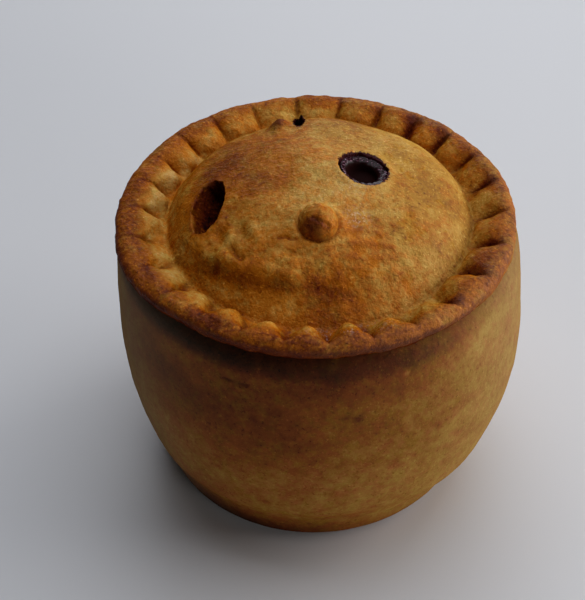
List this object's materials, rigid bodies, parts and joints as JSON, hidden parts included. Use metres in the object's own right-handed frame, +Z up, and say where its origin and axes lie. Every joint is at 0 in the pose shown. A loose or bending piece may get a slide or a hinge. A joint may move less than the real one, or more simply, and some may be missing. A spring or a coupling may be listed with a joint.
{
  "type": "pork pie",
  "caption": "Whole raised pork pie with a barrel-shaped wall, a hand-crimped rim and a domed lid with a knob and steam holes.",
  "frame": {"origin": "on the flat foot, straight below the centre of the crimped rim", "axes": "+Z up through the lid, -Y towards the front, the side the lid's knob is nearer to, +X to the right"},
  "size_m": [0.0918, 0.091, 0.0835],
  "materials": {
    "baked_pastry": "golden brown baked hot-water pastry, egg-washed, satin on the lid and matt on the wall",
    "set_jelly": "dark glossy set jelly"
  },
  "bodies": {
    "root": {"crust": "baked_pastry", "jelly": "set_jelly"}
  },
  "joints": []
}
